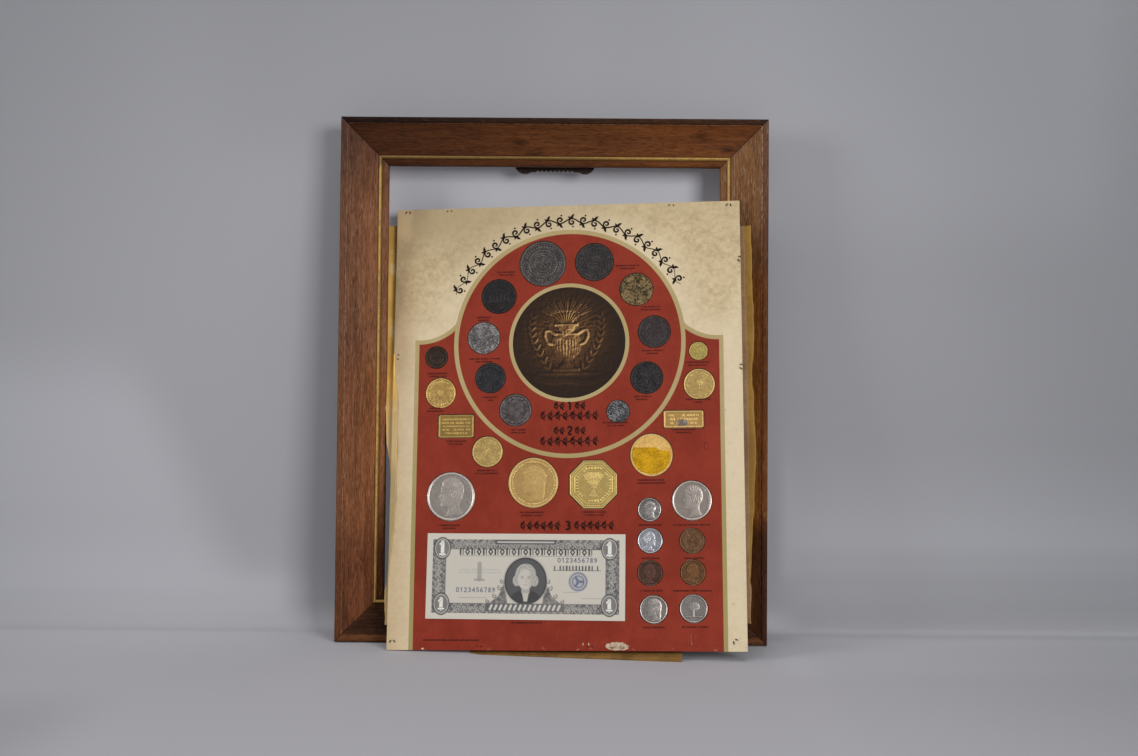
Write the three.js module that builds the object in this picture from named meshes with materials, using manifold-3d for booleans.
// A framed coin set: a walnut frame leaning back, and the coin board that stands in front and leans on it.
// Millimetres, +Z up. The front faces -Y.
import * as THREE from 'three';
import { mergeVertices } from 'three/addons/utils/BufferGeometryUtils.js';
import Module from 'manifold-3d';

const wasm = await Module();
wasm.setup();

// Driving sizes of the coin board
const boardWidth = 279.4;
const boardHeight = 355.6;
const cardThickness = 2.6;
const backingThickness = 2.0;
const windowClearance = 0.4;
const coinRecess = 0.35;

// Clearance kept between pieces that touch on the real object
const fitGap = 0.3;
// Extra length of a cutter past the face that it cuts
const cutOverrun = 1;

// Frame moulding
const lipOverlap = 5.3;
const boardPlay = 1.2;
const railWidth = 38.4;
const railDepth = 20;
const rabbetDepth = 7.5;
const lipWidth = 5;
const lipEdgeDepth = 8.8;
const lipCrownDepth = 7.2;
const grooveWidth = 3.4;
const grooveDepth = 1.6;
const filletRise = 1.6;
const coveInnerDepth = 7.1;
const coveOuterDepth = 1.3;
const beadWidth = 5;
const beadDrop = 3.2;
const frameLeanDegrees = 4;

// Frame fasteners
const nailRadius = 0.8;
const nailLength = 30;
const nailSink = 1;
const nailOutset = 27;
const nailSetback = 12.5;
const hangerLength = 66;
const hangerLobeHeight = 17;
const hangerBarHeight = 13.5;
const hangerThickness = 0.8;
const hangerDrop = 4.2;
const hangerToothDepth = 1.4;
const hangerToothCount = 9;
const hangerNailSpacing = 52;
const hangerNailOutset = 10.5;
const hangerNailRadius = 0.7;
const hangerNailHeadRadius = 1.6;
const hangerNailHeadThickness = 0.8;
const hangerNailLength = 8;

// How the board stands
const standOff = 37.8;
const sideShift = 11.7;
const boardYawDegrees = 6.06;
const rightCornerLift = 7.8;

// Paper
const noteWidth = 156;
const noteHeight = 66.3;
const noteThickness = 0.25;
const noteTurnDegrees = 0.54;
const tapeThickness = 0.4;
const tapeCover = 6;
const tapeReach = 9.6;
const tapeWrapWidth = 4.6;
const bottomTapeWidth = 164;
const bottomTapeShift = 8.4;
const bottomTapeHeight = 12;
const bottomTapeLeafThickness = 0.5;
const bottomTapeLeftReach = 2.5;
const bottomTapeRightReach = 6.5;
const bottomTapeTuck = 3;

// Staples
const stapleSpan = 4.6;
const stapleWire = 0.6;
const stapleTip = 1.5;
const stapleInset = 8.8;
const stapleEdgeInset = 2.6;
const stapleTopInset = 3.2;
const stapleTopRightInset = 4.2;
const stapleBottomInset = 6;
const stapleBottomRightInset = 7.2;
const stapleTurnDegrees = {
  top_left: 3, top_right: -4, bottom_left: 5, bottom_right: 47, edge_upper: 80, edge_middle: 87,
};

// Coins
const coinSegments = 24;
const coinThickness = 2;
const coinRimWidth = 1;
const coinFieldDepth = 0.3;
const ringCoinDiameters = [37, 30.5, 26.2, 25.4, 25.2, 17.6, 25.3, 23.8, 25.7, 27.7];
const ringCoinAngleDegrees = [108, 72.6, 37.9, 6.2, 334.5, 304.9, 232, 204, 176, 145.6];
const dollarDiameter = 38.1;
const halfDollarDiameter = 30.6;
const nickelDiameter = 21.2;
const centDiameter = 19.05;
const dimeDiameter = 17.9;
const largeGoldDiameter = 39.4;
const goldDiameter = 24.2;
const smallGoldDiameter = 14.4;
const octagonAcrossFlats = 37.2;
const leftBarWidth = 28.5;
const leftBarHeight = 18.2;
const rightBarWidth = 31.2;
const rightBarHeight = 13.4;
const barCornerRadius = 1.6;
const barRimWidth = 0.9;
const capsuleDiameter = 33.2;
const capsuleWall = 1;
const capsuleFloor = 0.5;
const capsuleCoverThickness = 0.4;
const goldDustDepth = 0.5;

// Worked out from the sizes above
const panelThickness = cardThickness + fitGap + backingThickness;
const sightWidth = boardWidth - 2 * lipOverlap;
const sightHeight = boardHeight - 2 * lipOverlap;
const rabbetWidth = lipOverlap + boardPlay;
const frameLean = THREE.MathUtils.degToRad(frameLeanDegrees);
const boardYaw = THREE.MathUtils.degToRad(boardYawDegrees);
const boardRoll = Math.asin(rightCornerLift / boardWidth);

const walnut = new THREE.MeshStandardMaterial({ color: 0x5a3a26, roughness: 0.5, metalness: 0 });
const gilt = new THREE.MeshStandardMaterial({ color: 0xa9823c, roughness: 0.4, metalness: 0.8 });
const steel = new THREE.MeshStandardMaterial({ color: 0x6d6a66, roughness: 0.45, metalness: 0.9 });
const printedCard = new THREE.MeshStandardMaterial({ color: 0x96372a, roughness: 0.7, metalness: 0 });
const greyCard = new THREE.MeshStandardMaterial({ color: 0xb9ab90, roughness: 0.9, metalness: 0 });
const paper = new THREE.MeshStandardMaterial({ color: 0xd9d5c6, roughness: 0.8, metalness: 0 });
const kraft = new THREE.MeshStandardMaterial({ color: 0xb98a45, roughness: 0.7, metalness: 0 });
const pewter = new THREE.MeshStandardMaterial({ color: 0x45464a, roughness: 0.45, metalness: 0.9 });
const silver = new THREE.MeshStandardMaterial({ color: 0xa8a8a8, roughness: 0.35, metalness: 1 });
const bronze = new THREE.MeshStandardMaterial({ color: 0x5c4426, roughness: 0.5, metalness: 0.9 });
const gold = new THREE.MeshStandardMaterial({ color: 0xc39b4a, roughness: 0.35, metalness: 1 });
const clearPlastic = new THREE.MeshStandardMaterial({ color: 0xf2ecd8, roughness: 0.1, metalness: 0 });

// Shared helpers

function withoutSeams(geometry) {
  geometry.deleteAttribute('normal');
  geometry.deleteAttribute('uv');
  return mergeVertices(geometry);
}

function toSolid(geometry) {
  const merged = withoutSeams(geometry.clone());
  const vertProperties = new Float32Array(merged.attributes.position.array);
  const triVerts = new Uint32Array(merged.index.array);
  return new wasm.Manifold(new wasm.Mesh({ numProp: 3, vertProperties, triVerts }));
}

function fromSolid(solid) {
  const mesh = solid.getMesh();
  const geometry = new THREE.BufferGeometry();
  geometry.setAttribute('position', new THREE.BufferAttribute(new Float32Array(mesh.vertProperties), 3));
  geometry.setIndex(new THREE.BufferAttribute(new Uint32Array(mesh.triVerts), 1));
  return geometry;
}

function cut(geometry, cutters) {
  let solid = toSolid(geometry);
  for (const cutter of cutters) {
    solid = solid.subtract(toSolid(cutter));
  }
  return fromSolid(solid);
}

function join(geometries) {
  let solid = toSolid(geometries[0]);
  for (const other of geometries.slice(1)) {
    solid = solid.add(toSolid(other));
  }
  return fromSolid(solid);
}

function addPiece(parent, name, geometry, material) {
  const mesh = new THREE.Mesh(geometry, material);
  mesh.name = name;
  parent.add(mesh);
  return mesh;
}

// A closed body through rings of points, all with the same count. The contour, counter-clockwise
// seen from the last ring, says how the two ends are filled.
function loft(rings, contour) {
  const count = contour.length;
  const geometry = new THREE.BufferGeometry().setFromPoints(rings.flat());
  const lastRing = (rings.length - 1) * count;
  const indices = [];
  for (const [a, b, c] of THREE.ShapeUtils.triangulateShape([...contour], [])) {
    indices.push(a, c, b, lastRing + a, lastRing + b, lastRing + c);
  }
  for (let ring = 0; ring < lastRing; ring += count) {
    for (let i = 0; i < count; i += 1) {
      const next = (i + 1) % count;
      indices.push(ring + i, ring + next, ring + count + next);
      indices.push(ring + i, ring + count + next, ring + count + i);
    }
  }
  geometry.setIndex(indices);
  return geometry;
}

// A plate drawn in the board's own plane, x across and z up, with its front face at frontY.
function plate(outline, holes, thickness, frontY) {
  const shape = new THREE.Shape(outline);
  for (const hole of holes) {
    shape.holes.push(new THREE.Path(hole));
  }
  const geometry = new THREE.ExtrudeGeometry(shape, { depth: thickness, bevelEnabled: false });
  geometry.rotateX(Math.PI / 2);
  geometry.translate(0, frontY + thickness, 0);
  return geometry;
}

function rectangle(width, height, x, z, turn = 0) {
  const corners = [[-1, -1], [1, -1], [1, 1], [-1, 1]];
  const centre = new THREE.Vector2(x, z);
  return corners.map(([sx, sz]) =>
    new THREE.Vector2(x + sx * width / 2, z + sz * height / 2).rotateAround(centre, turn));
}

function polygon(radius, count, x, z, turn = 0) {
  const points = [];
  for (let i = 0; i < count; i += 1) {
    const angle = turn + 2 * Math.PI * i / count;
    points.push(new THREE.Vector2(x + radius * Math.cos(angle), z + radius * Math.sin(angle)));
  }
  return points;
}

function roundedRectangle(width, height, radius, x, z) {
  const steps = 3;
  const points = [];
  const corners = [[1, 1], [-1, 1], [-1, -1], [1, -1]];
  corners.forEach(([sx, sz], quarter) => {
    for (let i = 0; i <= steps; i += 1) {
      const angle = (quarter + i / steps) * Math.PI / 2;
      const cornerX = x + sx * (width / 2 - radius);
      const cornerZ = z + sz * (height / 2 - radius);
      points.push(new THREE.Vector2(cornerX + radius * Math.cos(angle), cornerZ + radius * Math.sin(angle)));
    }
  });
  return points;
}

// Frame moulding sections: points are [out, back], out from the sight edge and back from the front plane

function curvePoints(from, control, to, steps) {
  const curve = new THREE.QuadraticBezierCurve(
    new THREE.Vector2(...from), new THREE.Vector2(...control), new THREE.Vector2(...to));
  return curve.getPoints(steps).map((point) => [point.x, point.y]);
}

const coveStart = [lipWidth + grooveWidth, coveInnerDepth];
const coveEnd = [railWidth - beadWidth, coveOuterDepth];
const coveControlShares = [0.62, 0.94];
const coveControl = [
  THREE.MathUtils.lerp(coveStart[0], coveEnd[0], coveControlShares[0]),
  coveStart[1] * coveControlShares[1],
];
const coveSteps = 8;
const cove = curvePoints(coveStart, coveControl, coveEnd, coveSteps);

function coveDepth(out) {
  for (let i = 1; i < cove.length; i += 1) {
    if (out <= cove[i][0]) {
      const share = (out - cove[i - 1][0]) / (cove[i][0] - cove[i - 1][0]);
      return THREE.MathUtils.lerp(cove[i - 1][1], cove[i][1], share);
    }
  }
  return coveOuterDepth;
}

function railSection() {
  const shoulder = railDepth - rabbetDepth;
  const grooveFloor = lipCrownDepth + grooveDepth;
  const beadCrownShare = 0.45;
  const lipSteps = 3;
  const beadSteps = 3;
  const lip = curvePoints([0, lipEdgeDepth], [0, lipCrownDepth], [lipWidth, lipCrownDepth], lipSteps);
  const beadCrown = railWidth - beadWidth * beadCrownShare;
  const beadInner = curvePoints([coveEnd[0], coveOuterDepth / 2], [coveEnd[0], 0], [beadCrown, 0], beadSteps - 1);
  const beadOuter = curvePoints([beadCrown, 0], [railWidth, 0], [railWidth, beadDrop], beadSteps);
  return [
    ...lip,
    [lipWidth, grooveFloor],
    [lipWidth + grooveWidth, grooveFloor],
    ...cove,
    ...beadInner,
    ...beadOuter.slice(1),
    [railWidth, railDepth],
    [rabbetWidth, railDepth],
    [rabbetWidth, shoulder],
    [0, shoulder],
  ];
}

function filletSection() {
  const inner = lipWidth + fitGap;
  const outer = lipWidth + grooveWidth - fitGap;
  const floor = lipCrownDepth + grooveDepth - fitGap;
  const crownSteps = 4;
  const crown = curvePoints([inner, lipCrownDepth], [(inner + outer) / 2, lipCrownDepth - 2 * filletRise],
    [outer, lipCrownDepth], crownSteps);
  return [...crown, [outer, floor], [inner, floor]];
}

// A bar along x whose ends are cut at 45 degrees, with its sight edge at z = 0 and its body above
function mitredBar(section, sightLength) {
  const trim = fitGap / Math.SQRT2;
  const contour = section.map(([out, back]) => new THREE.Vector2(back, out));
  if (THREE.ShapeUtils.isClockWise(contour)) {
    contour.reverse();
  }
  const rings = [-1, 1].map((side) => contour.map((point) =>
    new THREE.Vector3(side * (sightLength / 2 + point.y - trim), point.x, point.y)));
  return loft(rings, contour);
}

const frameSides = [
  { name: 'top', turn: 0, along: sightWidth, across: sightHeight },
  { name: 'right', turn: Math.PI / 2, along: sightHeight, across: sightWidth },
  { name: 'bottom', turn: Math.PI, along: sightWidth, across: sightHeight },
  { name: 'left', turn: -Math.PI / 2, along: sightHeight, across: sightWidth },
];

function placedBar(section, side) {
  const bar = mitredBar(section, side.along);
  bar.translate(0, 0, side.across / 2);
  bar.rotateY(side.turn);
  return bar;
}

const frameCorners = [[-1, 1, 'top_left'], [1, 1, 'top_right'], [-1, -1, 'bottom_left'], [1, -1, 'bottom_right']];

// A corner nail runs level from the outer side of an upright rail into the end of a cross rail
function cornerNail(sideX, sideZ, radius, length) {
  const nail = new THREE.CylinderGeometry(radius, radius, length, 8);
  nail.rotateZ(Math.PI / 2);
  const outerX = sightWidth / 2 + railWidth - nailSink - nailLength / 2;
  nail.translate(sideX * outerX, nailSetback, sideZ * (sightHeight / 2 + nailOutset));
  return nail;
}

function hangerNail(side) {
  const headBack = railDepth + fitGap + hangerThickness + fitGap + hangerNailHeadThickness;
  const headFront = headBack - hangerNailHeadThickness;
  const tip = railDepth - hangerNailLength;
  const profile = [
    [0, tip],
    [hangerNailRadius, tip + hangerNailRadius],
    [hangerNailRadius, headFront],
    [hangerNailHeadRadius, headFront],
    [hangerNailHeadRadius, headFront + hangerNailHeadThickness / 2],
    [0, headBack],
  ].map(([radius, back]) => new THREE.Vector2(radius, back));
  const nail = new THREE.LatheGeometry(profile, 10);
  nail.translate(side * hangerNailSpacing / 2, 0, sightHeight / 2 + hangerNailOutset);
  return nail;
}

function hangerHole(side) {
  const length = hangerNailLength + 2 * hangerThickness + cutOverrun;
  const hole = new THREE.CylinderGeometry(hangerNailRadius + fitGap, hangerNailRadius + fitGap, length, 10);
  hole.translate(side * hangerNailSpacing / 2, railDepth - hangerNailLength - fitGap + length / 2,
    sightHeight / 2 + hangerNailOutset);
  return hole;
}

// The sawtooth hanger: a bar with two rounded lobes and a row of teeth along its lower edge
function hangerOutline() {
  const lobeRadius = hangerLobeHeight / 2;
  const lobeX = hangerLength / 2 - lobeRadius;
  const lobeZ = sightHeight / 2 - hangerDrop + lobeRadius;
  const openAngle = Math.asin(hangerBarHeight / hangerLobeHeight);
  const barBottom = lobeZ - hangerBarHeight / 2;
  const barHalf = lobeX - lobeRadius * Math.cos(openAngle);
  const lobeSteps = 10;
  const points = [];
  for (const [side, start] of [[1, openAngle - Math.PI], [-1, openAngle]]) {
    for (let i = 0; i <= lobeSteps; i += 1) {
      const angle = start + 2 * (Math.PI - openAngle) * i / lobeSteps;
      points.push(new THREE.Vector2(side * lobeX + lobeRadius * Math.cos(angle),
        lobeZ + lobeRadius * Math.sin(angle)));
    }
  }
  const toothPitch = 2 * barHalf / (hangerToothCount + 2);
  for (let i = 0; i < hangerToothCount; i += 1) {
    const x = toothPitch * (i + 1) - barHalf;
    points.push(new THREE.Vector2(x, barBottom));
    points.push(new THREE.Vector2(x + toothPitch / 2, barBottom + hangerToothDepth));
  }
  points.push(new THREE.Vector2(barHalf - toothPitch, barBottom));
  return points;
}

function buildFrame() {
  const frame = new THREE.Group();
  const opening = new THREE.Group();
  opening.position.z = railWidth + sightHeight / 2;
  frame.add(opening);
  const nailHoles = frameCorners.map(([sideX, sideZ]) =>
    cornerNail(sideX, sideZ, nailRadius + fitGap, nailLength + 2 * nailSink + 2 * fitGap));
  const hangerHoles = [-1, 1].map(hangerHole);
  for (const side of frameSides) {
    const cutters = side.name === 'top' ? [...nailHoles, ...hangerHoles] : nailHoles;
    addPiece(opening, `rail_${side.name}`, cut(placedBar(railSection(), side), cutters), walnut);
    addPiece(opening, `gilt_fillet_${side.name}`, placedBar(filletSection(), side), gilt);
  }
  for (const [sideX, sideZ, name] of frameCorners) {
    addPiece(opening, `corner_nail_${name}`, cornerNail(sideX, sideZ, nailRadius, nailLength), steel);
  }
  const hangerPlate = plate(hangerOutline(), [], hangerThickness, railDepth + fitGap);
  addPiece(opening, 'sawtooth_hanger', cut(hangerPlate, hangerHoles), steel);
  addPiece(opening, 'hanger_nail_left', hangerNail(-1), steel);
  addPiece(opening, 'hanger_nail_right', hangerNail(1), steel);
  frame.rotation.x = -frameLean;
  frame.position.z = railDepth * Math.sin(frameLean);
  return frame;
}

// Coins. Places are shares of the board's width from its middle and of its height from its foot.
const loosePlaceShares = {
  small_bronze_coin: [-0.375, 0.651],
  gold_coin_left: [-0.361, 0.569],
  gold_coin_low: [-0.223, 0.435],
  small_gold_coin: [0.377, 0.656],
  gold_coin_right: [0.378, 0.581],
  large_gold_coin: [-0.091, 0.365],
  silver_dollar: [-0.326, 0.3355],
  half_dollar: [0.3536, 0.3234],
  dime: [0.236, 0.304],
  steel_cent: [0.237, 0.2365],
  olive_cent: [0.353, 0.2357],
  dark_cent: [0.236, 0.1665],
  brown_cent: [0.3545, 0.168],
  nickel_left: [0.2455, 0.0885],
  nickel_right: [0.355, 0.0905],
};
const looseCoins = {
  small_bronze_coin: [ringCoinDiameters[5], bronze],
  gold_coin_left: [goldDiameter, gold],
  gold_coin_low: [goldDiameter, gold],
  small_gold_coin: [smallGoldDiameter, gold],
  gold_coin_right: [goldDiameter, gold],
  large_gold_coin: [largeGoldDiameter, gold],
  silver_dollar: [dollarDiameter, silver],
  half_dollar: [halfDollarDiameter, silver],
  dime: [dimeDiameter, silver],
  steel_cent: [centDiameter, silver],
  olive_cent: [centDiameter, bronze],
  dark_cent: [centDiameter, bronze],
  brown_cent: [centDiameter, bronze],
  nickel_left: [nickelDiameter, silver],
  nickel_right: [nickelDiameter, silver],
};
// The coins of the ring stand on a circle round the middle of the board's upper part
const ringPlaceShares = [0.0079, 0.6805];
const ringRadiusShares = [0.2462, 0.1935];
const octagonPlaceShares = [0.079, 0.3605];
const capsulePlaceShares = [0.242, 0.4245];
const leftBarPlaceShares = [-0.3145, 0.493];
const rightBarPlaceShares = [0.333, 0.503];
const notePlaceShares = [-0.1113, 0.159];

function boardPlace([acrossShare, upShare]) {
  return [acrossShare * boardWidth, upShare * boardHeight];
}

function allRoundCoins() {
  const coins = [];
  ringCoinDiameters.forEach((diameter, index) => {
    const angle = THREE.MathUtils.degToRad(ringCoinAngleDegrees[index]);
    const [x, z] = boardPlace([
      ringPlaceShares[0] + ringRadiusShares[0] * Math.cos(angle),
      ringPlaceShares[1] + ringRadiusShares[1] * Math.sin(angle),
    ]);
    coins.push({ name: `ring_coin_${index + 1}`, diameter, x, z, material: pewter });
  });
  for (const [name, [diameter, material]] of Object.entries(looseCoins)) {
    const [x, z] = boardPlace(loosePlaceShares[name]);
    coins.push({ name, diameter, x, z, material });
  }
  return coins;
}

// Revolved pieces lie in the board's plane, with their front towards -Y
function revolved(profile, x, z) {
  const points = profile.map(([radius, y]) => new THREE.Vector2(radius, y));
  const geometry = new THREE.LatheGeometry(points, coinSegments);
  geometry.translate(x, 0, z);
  return geometry;
}

function coin(diameter, x, z) {
  const radius = diameter / 2;
  const front = coinRecess;
  const back = coinRecess + coinThickness;
  const field = front + coinFieldDepth;
  const profile = [[0, field], [radius - coinRimWidth, field], [radius - coinRimWidth, front],
    [radius, front], [radius, back], [0, back]];
  return revolved(profile, x, z);
}

// A flat struck bar or octagon: an outline with a raised rim round a sunk field
function rimmedPlate(outline, inner) {
  const back = plate(outline, [], coinThickness, coinRecess);
  const sink = plate(inner, [], coinFieldDepth + cutOverrun, coinRecess - cutOverrun);
  return cut(back, [sink]);
}

function octagon(size) {
  const [x, z] = boardPlace(octagonPlaceShares);
  const radius = size / 2 / Math.cos(Math.PI / 8);
  return polygon(radius, 8, x, z, Math.PI / 8);
}

function goldBar(width, height, shares, inset) {
  const [x, z] = boardPlace(shares);
  return roundedRectangle(width - 2 * inset, height - 2 * inset, barCornerRadius - inset / 2, x, z);
}

// The gold-dust capsule: a shallow dish, the flakes in it and a clear cover on its rim
function addCapsule(panel) {
  const [x, z] = boardPlace(capsulePlaceShares);
  const radius = capsuleDiameter / 2;
  const inner = radius - capsuleWall;
  const rim = coinRecess + capsuleCoverThickness + fitGap;
  const back = coinRecess + coinThickness;
  const floor = back - capsuleFloor;
  addPiece(panel, 'capsule_dish',
    revolved([[0, floor], [inner, floor], [inner, rim], [radius, rim], [radius, back], [0, back]], x, z),
    clearPlastic);
  const dustBack = floor - fitGap;
  const dustRadius = inner - fitGap;
  addPiece(panel, 'gold_dust',
    revolved([[0, dustBack - goldDustDepth], [dustRadius, dustBack - goldDustDepth], [dustRadius, dustBack],
      [0, dustBack]], x, z), gold);
  const coverBack = coinRecess + capsuleCoverThickness;
  addPiece(panel, 'capsule_cover',
    revolved([[0, coinRecess], [radius, coinRecess], [radius, coverBack], [0, coverBack]], x, z), clearPlastic);
}

// Staples, none of them quite square to the board: [name, x, z, whether the side tape lies under the crown]
const halfBoard = boardWidth / 2;
const edgeStapleHeightShares = [0.873, 0.623];
const staples = [
  ['top_left', -halfBoard + stapleInset, boardHeight - stapleTopInset, false],
  ['top_right', halfBoard - stapleInset, boardHeight - stapleTopRightInset, false],
  ['bottom_left', -halfBoard + stapleInset / 2, stapleBottomInset, false],
  ['bottom_right', halfBoard - stapleInset, stapleBottomRightInset, false],
  ['edge_upper', halfBoard - stapleEdgeInset, boardHeight * edgeStapleHeightShares[0], true],
  ['edge_middle', halfBoard - stapleEdgeInset, boardHeight * edgeStapleHeightShares[1], true],
].map(([name, x, z, overTape]) => {
  const turn = THREE.MathUtils.degToRad(stapleTurnDegrees[name]);
  return { name, x, z, turn, overTape };
});

function stapleHoles(onTapeOnly = false) {
  const size = stapleWire + 2 * fitGap;
  const reach = (stapleSpan - stapleWire) / 2;
  const holes = [];
  for (const { x, z, turn, overTape } of staples) {
    if (overTape || !onTapeOnly) {
      for (const side of [-1, 1]) {
        const holeX = x + side * reach * Math.cos(turn);
        const holeZ = z + side * reach * Math.sin(turn);
        holes.push(rectangle(size, size, holeX, holeZ, turn));
      }
    }
  }
  return holes;
}

// A staple bent from one wire: its crown behind the board and its two tips clinched on the front
function staple(x, z, turn, overTape) {
  const half = stapleSpan / 2;
  const crownFront = panelThickness + fitGap + (overTape ? tapeThickness + fitGap : 0);
  const crownBack = crownFront + stapleWire;
  const tipBack = -fitGap;
  const tipFront = tipBack - stapleWire;
  const inner = half - stapleWire;
  const tipEnd = half - stapleTip;
  const outline = [[-half, crownBack], [-half, tipFront], [-tipEnd, tipFront], [-tipEnd, tipBack],
    [-inner, tipBack], [-inner, crownFront], [inner, crownFront], [inner, tipBack], [tipEnd, tipBack],
    [tipEnd, tipFront], [half, tipFront], [half, crownBack]];
  const shape = new THREE.Shape(outline.map(([across, back]) => new THREE.Vector2(across, back)));
  const geometry = new THREE.ExtrudeGeometry(shape, { depth: stapleWire, bevelEnabled: false });
  geometry.translate(0, 0, -stapleWire / 2);
  geometry.rotateY(-turn);
  geometry.translate(x, 0, z);
  return geometry;
}

// Side tapes: the outer edge wanders, so its points are [height share, reach share]
const rightTapeShares = [[0.06, 0.3], [0.152, 0.36], [0.28, 0.64], [0.41, 0.97], [0.545, 0.87],
  [0.612, 0.78], [0.68, 1], [0.77, 1], [0.862, 0.94], [0.945, 0.9]];
const leftTapeShares = [[0.055, 0.2], [0.27, 0.2], [0.42, 0.26], [0.5, 0.4], [0.575, 0.46], [0.7, 0.42],
  [0.85, 0.4], [0.945, 0.4]];
const leftWrapShares = [[0.16, 0.08], [0.24, 0.55], [0.29, 0.92], [0.42, 1], [0.55, 0.9], [0.62, 0.3],
  [0.66, 0.08]];

function sideTapeOutline(side, shares) {
  const edge = side * halfBoard;
  const outer = shares.map(([up, out]) =>
    new THREE.Vector2(edge + side * out * tapeReach, up * boardHeight));
  const inner = [shares.at(-1), shares[0]].map(([up]) =>
    new THREE.Vector2(edge - side * tapeCover, up * boardHeight));
  return [...outer, ...inner];
}

const tapeFront = panelThickness + fitGap;

function rightTape() {
  return plate(sideTapeOutline(1, rightTapeShares), stapleHoles(true), tapeThickness, tapeFront);
}

// The left tape also folds round the board's edge and a little way over its front
function leftTape() {
  const back = plate(sideTapeOutline(-1, leftTapeShares), [], tapeThickness, tapeFront);
  const first = leftWrapShares[0][0] * boardHeight;
  const last = leftWrapShares.at(-1)[0] * boardHeight;
  const web = new THREE.BoxGeometry(tapeThickness, tapeFront + 2 * tapeThickness + fitGap, last - first);
  web.translate(-halfBoard - fitGap - tapeThickness / 2, (tapeFront - fitGap) / 2, (first + last) / 2);
  const flapOutline = leftWrapShares.map(([up, over]) =>
    new THREE.Vector2(-halfBoard + over * tapeWrapWidth, up * boardHeight));
  flapOutline.push(new THREE.Vector2(-halfBoard - fitGap - tapeThickness, last));
  flapOutline.push(new THREE.Vector2(-halfBoard - fitGap - tapeThickness, first));
  const flap = plate(flapOutline, [], tapeThickness, -fitGap - tapeThickness);
  return join([back, web, flap]);
}

function buildPanel() {
  const panel = new THREE.Group();
  const coins = allRoundCoins();
  const windows = coins.map(({ diameter, x, z }) =>
    polygon(diameter / 2 + windowClearance, coinSegments, x, z));
  windows.push(octagon(octagonAcrossFlats + 2 * windowClearance));
  windows.push(polygon(capsuleDiameter / 2 + windowClearance, coinSegments, ...boardPlace(capsulePlaceShares)));
  windows.push(goldBar(leftBarWidth, leftBarHeight, leftBarPlaceShares, -windowClearance));
  windows.push(goldBar(rightBarWidth, rightBarHeight, rightBarPlaceShares, -windowClearance));
  const sheet = rectangle(boardWidth, boardHeight, 0, boardHeight / 2);
  addPiece(panel, 'coin_board', plate(sheet, [...windows, ...stapleHoles()], cardThickness, 0), printedCard);
  addPiece(panel, 'backing_board',
    plate(sheet, stapleHoles(), backingThickness, cardThickness + fitGap), greyCard);
  for (const { name, diameter, x, z, material } of coins) {
    addPiece(panel, name, coin(diameter, x, z), material);
  }
  addPiece(panel, 'octagonal_gold_coin',
    rimmedPlate(octagon(octagonAcrossFlats), octagon(octagonAcrossFlats - 2 * coinRimWidth)), gold);
  addPiece(panel, 'gold_bar_left',
    rimmedPlate(goldBar(leftBarWidth, leftBarHeight, leftBarPlaceShares, 0),
      goldBar(leftBarWidth, leftBarHeight, leftBarPlaceShares, barRimWidth)), gold);
  addPiece(panel, 'gold_bar_right',
    rimmedPlate(goldBar(rightBarWidth, rightBarHeight, rightBarPlaceShares, 0),
      goldBar(rightBarWidth, rightBarHeight, rightBarPlaceShares, barRimWidth)), gold);
  addCapsule(panel);
  const noteOutline = rectangle(noteWidth, noteHeight, ...boardPlace(notePlaceShares),
    -THREE.MathUtils.degToRad(noteTurnDegrees));
  addPiece(panel, 'banknote', plate(noteOutline, [], noteThickness, -fitGap - noteThickness), paper);
  addPiece(panel, 'tape_right', rightTape(), kraft);
  addPiece(panel, 'tape_left', leftTape(), kraft);
  const glued = rectangle(bottomTapeWidth, bottomTapeHeight, bottomTapeShift, bottomTapeHeight / 2 + fitGap);
  addPiece(panel, 'bottom_tape_glued', plate(glued, [], tapeThickness, tapeFront), kraft);
  for (const { name, x, z, turn, overTape } of staples) {
    addPiece(panel, `staple_${name}`, staple(x, z, turn, overTape), steel);
  }
  return panel;
}

// How the board stands: turned by its yaw, leaning back, and raised at its right corner

function panelMatrix(lean) {
  const turn = new THREE.Matrix4().makeRotationX(-lean);
  turn.multiply(new THREE.Matrix4().makeRotationY(-boardRoll));
  const leftHeel = new THREE.Vector3(-halfBoard, panelThickness, 0).applyMatrix4(turn);
  return new THREE.Matrix4().makeTranslation(0, 0, -leftHeel.z).multiply(turn);
}

const standMatrix = new THREE.Matrix4().makeTranslation(sideShift, -standOff, 0)
  .multiply(new THREE.Matrix4().makeRotationZ(-boardYaw));

// Depth of the right rail's front, below its front plane, at a distance out from the sight edge
function railFaceDepth(out) {
  if (out < 0) {
    return Infinity;
  }
  if (out < lipWidth) {
    return lipCrownDepth;
  }
  if (out < lipWidth + grooveWidth) {
    return lipCrownDepth - filletRise;
  }
  return coveDepth(out);
}

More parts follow.
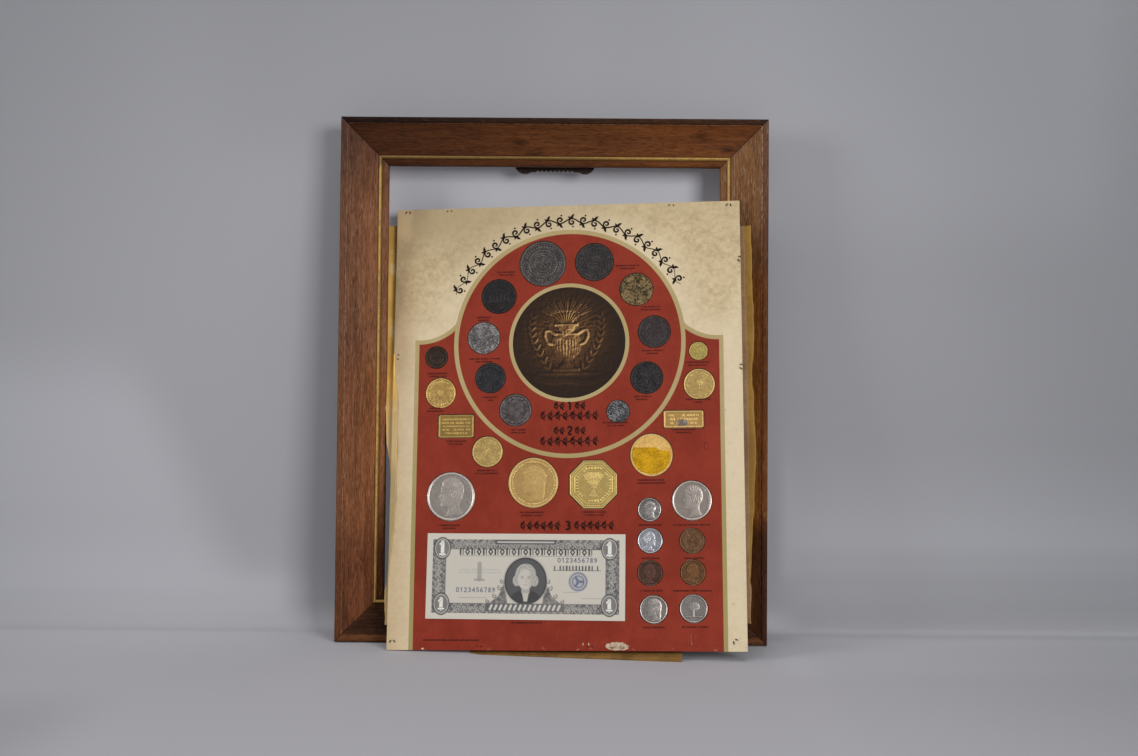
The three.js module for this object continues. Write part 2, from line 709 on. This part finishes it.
// The board leans back until the back of its top edge reaches the right rail
function restingLean() {
  const toFrame = new THREE.Matrix4().makeTranslation(0, 0, railDepth * Math.sin(frameLean))
    .multiply(new THREE.Matrix4().makeRotationX(-frameLean)).invert();
  const samples = 60;
  let low = 0;
  let high = Math.PI / 4;
  for (let i = 0; i < 40; i += 1) {
    const lean = (low + high) / 2;
    const toRail = toFrame.clone().multiply(standMatrix).multiply(panelMatrix(lean));
    let room = Infinity;
    for (let j = 0; j <= samples; j += 1) {
      const x = halfBoard - railWidth * j / samples;
      const point = new THREE.Vector3(x, panelThickness, boardHeight).applyMatrix4(toRail);
      room = Math.min(room, railFaceDepth(point.x - sightWidth / 2) - point.y);
    }
    if (room > fitGap) {
      low = lean;
    } else {
      high = lean;
    }
  }
  return low;
}

const boardLean = restingLean();

// The bottom tape: a strip folded towards the front, its upper leaf under the board's edge and its
// lower leaf on the table. It stands in the turned group, x along the board's foot.
function bottomTape() {
  const stations = 8;
  const matrix = panelMatrix(boardLean);
  const foldShares = [0.62, 0.2];
  const thinnestLeafShare = 0.2;
  const rings = [];
  let contour = [];
  for (let i = 0; i <= stations; i += 1) {
    const along = i / stations;
    const x = bottomTapeShift + (along - 0.5) * bottomTapeWidth;
    const heel = new THREE.Vector3(x, panelThickness, 0).applyMatrix4(matrix);
    const top = heel.z - fitGap;
    const leaf = Math.min(bottomTapeLeafThickness, top * thinnestLeafShare);
    const toe = new THREE.Vector3(x, 0, 0).applyMatrix4(matrix);
    const front = toe.y - THREE.MathUtils.lerp(bottomTapeLeftReach, bottomTapeRightReach, along);
    const back = heel.y + bottomTapeTuck;
    const section = [
      [front + leaf, 0],
      [back, 0],
      [back, leaf],
      [front + leaf, leaf],
      [front + leaf, top * foldShares[0] - leaf],
      [heel.y, top - leaf],
      [back, top - leaf],
      [back, top],
      [heel.y, top],
      [front, top * foldShares[0]],
      [front, top * foldShares[1]],
    ];
    contour = section.map(([y, z]) => new THREE.Vector2(y, z));
    rings.push(section.map(([y, z]) => new THREE.Vector3(x, y, z)));
  }
  return loft(rings, contour);
}

function build() {
  const model = new THREE.Group();
  model.add(buildFrame());
  const stand = new THREE.Group();
  stand.applyMatrix4(standMatrix);
  const panel = buildPanel();
  panel.applyMatrix4(panelMatrix(boardLean));
  stand.add(panel);
  addPiece(stand, 'bottom_tape', bottomTape(), kraft);
  model.add(stand);
  model.updateMatrixWorld(true);
  const box = new THREE.Box3().setFromObject(model, true);
  const centre = box.getCenter(new THREE.Vector3());
  model.position.set(-centre.x, -centre.y, -box.min.z);
  return model;
}

export default build();
